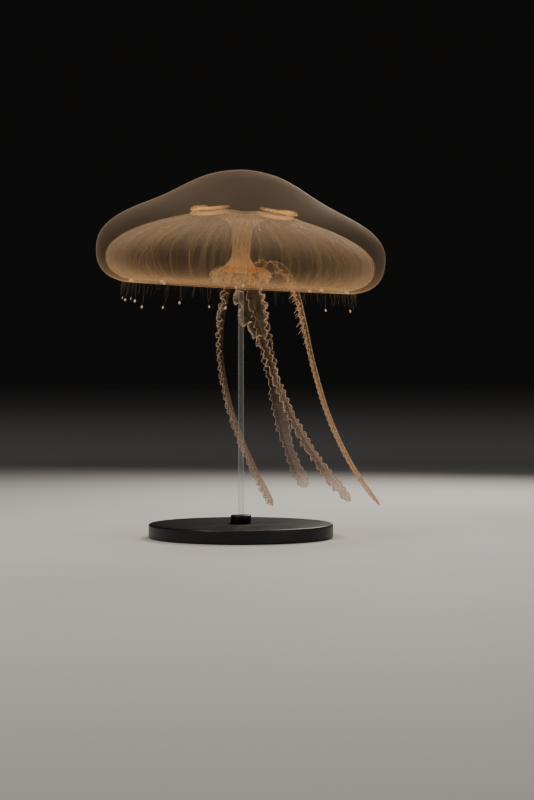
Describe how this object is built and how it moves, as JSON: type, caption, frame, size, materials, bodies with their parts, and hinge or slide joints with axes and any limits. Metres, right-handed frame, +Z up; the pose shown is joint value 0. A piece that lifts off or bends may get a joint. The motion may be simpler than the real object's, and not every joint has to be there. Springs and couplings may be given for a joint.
{
  "type": "moon jellyfish",
  "caption": "Still life-size moon jellyfish with a domed translucent bell, beaded margin tentacles and frilled oral arms trailing to one side, on a rod and round base.",
  "frame": {"origin": "centre of the stand base's underside, on the surface that it stands on", "axes": "+Z up; -Y is the side seen from the front; the oral arms trail down towards +X"},
  "size_m": [0.25, 0.25, 0.318],
  "materials": {
    "bell_jelly": "wet translucent amber jelly",
    "margin_jelly": "wet translucent amber, denser at the rim",
    "gonad_flesh": "pale orange folded tissue",
    "arm_flesh": "soft translucent peach tissue",
    "base_satin": "satin charcoal",
    "rod_acrylic": "clear polished rod"
  },
  "bodies": {
    "root": {"bell": "bell_jelly", "bell_lobe_1": "margin_jelly", "bell_lobe_2": "margin_jelly", "bell_lobe_3": "margin_jelly", "bell_lobe_4": "margin_jelly", "bell_lobe_5": "margin_jelly", "bell_lobe_6": "margin_jelly", "bell_lobe_7": "margin_jelly", "bell_lobe_8": "margin_jelly", "gonad_front_left": "gonad_flesh", "gonad_front_right": "gonad_flesh", "gonad_back_left": "gonad_flesh", "gonad_back_right": "gonad_flesh", "mouth_stalk": "arm_flesh", "oral_arm_left_upper": "arm_flesh", "oral_arm_left_middle": "arm_flesh", "oral_arm_left_lower": "arm_flesh", "oral_arm_front_upper": "arm_flesh", "oral_arm_front_middle": "arm_flesh", "oral_arm_front_lower": "arm_flesh", "oral_arm_back_upper": "arm_flesh", "oral_arm_back_middle": "arm_flesh", "oral_arm_back_lower": "arm_flesh", "oral_arm_right_upper": "arm_flesh", "oral_arm_right_middle": "arm_flesh", "oral_arm_right_lower": "arm_flesh", "stand_base": "base_satin", "stand_collar": "base_satin", "stand_rod": "rod_acrylic"}
  },
  "joints": []
}
